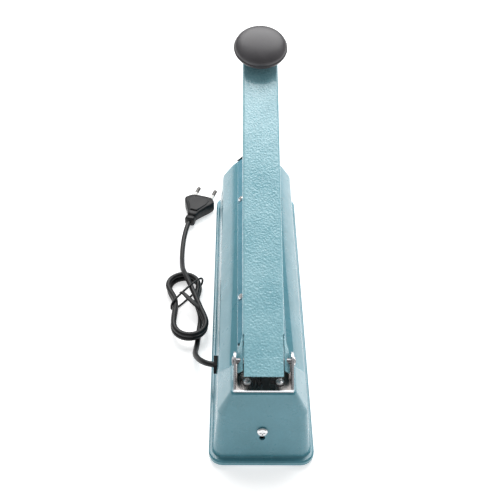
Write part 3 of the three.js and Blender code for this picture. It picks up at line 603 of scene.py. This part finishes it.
# ---------------------------------------------------------------- the plug
PLUG_AT = Vector((-65.4, 119.3, 6.8)) * MM
PLUG_TURN = math.radians(-17)
PLACE_PLUG = Matrix.Translation(PLUG_AT) @ Matrix.Rotation(PLUG_TURN, 4, "Z")
PIN_SPACING = 17.6 * MM
# Sections from the cord's end to the pins: half width, half thickness, distance, squareness.
STATIONS = [(2.9, 2.9, -0.5, 0.9), (4.6, 4.4, 0.0, 0.6), (4.9, 4.8, 0.6, 0.5), (4.9, 4.8, 4.2, 0.5),
            (4.5, 4.4, 4.8, 0.6), (3.3, 3.4, 5.2, 0.8), (3.3, 3.4, 6.4, 0.8), (4.6, 4.3, 6.9, 0.55),
            (5.2, 4.8, 9.5, 0.5), (6.6, 5.4, 13.0, 0.42), (9.6, 5.9, 18.5, 0.36), (13.2, 6.1, 24.5, 0.3),
            (15.1, 6.1, 28.8, 0.26), (15.3, 6.0, 31.2, 0.26), (13.9, 5.8, 34.4, 0.4),
            (12.2, 5.5, 36.8, 0.45), (11.4, 5.0, 37.7, 0.5), (10.2, 4.0, 38.0, 0.55)]
PANEL = [(-3.6, 12), (3.6, 12), (9.6, 23.5), (10.4, 29.5), (8.4, 33), (-8.4, 33), (-10.4, 29.5), (-9.6, 23.5)]
PANEL_MIDDLE = 22
# The panel's layers, from inside the shell outwards: share of the outline's size, height.
PANEL_LAYERS = [(1, 5.3), (0.97, 6.5), (0.9, 6.75)]


def super_ring(half_x, half_z, y, power):
    """A rounded-box section across the plug."""
    ring = []
    for k in range(40):
        a = 2 * math.pi * k / 40
        x, z = squared_off(math.cos(a), power), squared_off(math.sin(a), power)
        ring.append((half_x * x * MM, y * MM, half_z * z * MM))
    return ring


def make_plug():
    plug = from_grid("plug_shell", [super_ring(*station) for station in STATIONS])
    # A raised grip panel on each flat face.
    for side in (-1, 1):
        bm = bmesh.new()
        layers = []
        for share, height in PANEL_LAYERS:
            layers.append([bm.verts.new((x * share * MM, (PANEL_MIDDLE + (y - PANEL_MIDDLE) * share) * MM,
                                         side * height * MM)) for x, y in PANEL])
        for a, b in zip(layers, layers[1:]):
            for k in range(len(a)):
                m = (k + 1) % len(a)
                bm.faces.new((a[k], a[m], b[m], b[k]))
        bm.faces.new(layers[-1])
        bm.faces.new(layers[0])
        panel = from_bmesh("plug_panel_top" if side > 0 else "plug_panel_under", bm, smooth=False)
        panel.data.transform(PLACE_PLUG)
        bevel = panel.modifiers.new("edges", "BEVEL")
        bevel.width = 0.3 * MM
        bevel.segments = 2
        paint(panel, PLUG)
        panel.parent = plug
    plug.data.transform(PLACE_PLUG)
    paint(plug, PLUG)
    edge_smooth(plug, 60)
    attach(plug, "base")
    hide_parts("plug_body")
    pins = []
    for name, side in (("left", -1), ("right", 1)):
        tip_profile = [(0, 46), (1.95, 46), (1.95, 53.4), *arc(0.95, 54.4, 1.0, 0, 80, 6), (0, 55.4)]
        sleeve_profile = [(0, 37), (1.9, 37), (1.9, 47.2), (1.7, 47.4), (0, 47.4)]
        metal = turned("plug_tip_" + name, [(r * MM, h * MM) for r, h in tip_profile], 32)
        sleeve = turned("plug_sleeve_" + name, [(r * MM, h * MM) for r, h in sleeve_profile], 32)
        beside = Matrix.Translation((side * PIN_SPACING / 2, 0, 0)) @ Matrix.Rotation(-math.pi / 2, 4, "X")
        for piece, material in ((metal, PIN_TIP), (sleeve, SLEEVE)):
            piece.data.transform(PLACE_PLUG @ beside)
            edge_smooth(piece, 40)
            paint(piece, material)
            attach(piece, "base")
            pins.append(piece)
        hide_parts("plug_pin_" + name)
    return [plug, *pins]


plug_pieces = make_plug()

# ---------------------------------------------------------------- floor and light
def make_stage():
    bpy.ops.mesh.primitive_plane_add(size=9)
    floor = bpy.context.object
    floor.name = "floor"
    n = Nodes("floor_paper", (0.86, 0.86, 0.86), 0.95, Emission_Strength=0.56, Emission_Color=(1, 1, 1, 1))
    n.colour(n.noise(3, 2), [(0.4, (0.855, 0.855, 0.855)), (0.6, (0.865, 0.865, 0.865))])
    paint(floor, n.material)
    world = bpy.data.worlds.new("studio")
    bpy.context.scene.world = world
    world.use_nodes = True
    world.node_tree.nodes["Background"].inputs[0].default_value = (1, 1, 1, 1)
    world.node_tree.nodes["Background"].inputs[1].default_value = 0.32


def softbox(name, at, towards, size, power):
    data = bpy.data.lights.new(name, "AREA")
    data.shape = "RECTANGLE"
    data.size, data.size_y = size
    data.energy = power
    lamp = link(bpy.data.objects.new(name, data))
    lamp.location = at
    lamp.rotation_euler = (Vector(towards) - Vector(at)).to_track_quat("-Z", "Y").to_euler()


make_stage()
softbox("key_light", (0.1, 1.3, 1.8), (0, 0.1, 0), (2.4, 1.6), 64)
softbox("right_light", (1.6, 0.1, 1.0), (0, 0, 0.05), (0.9, 1.4), 2.5)
bpy.context.scene.view_settings.view_transform = "Standard"
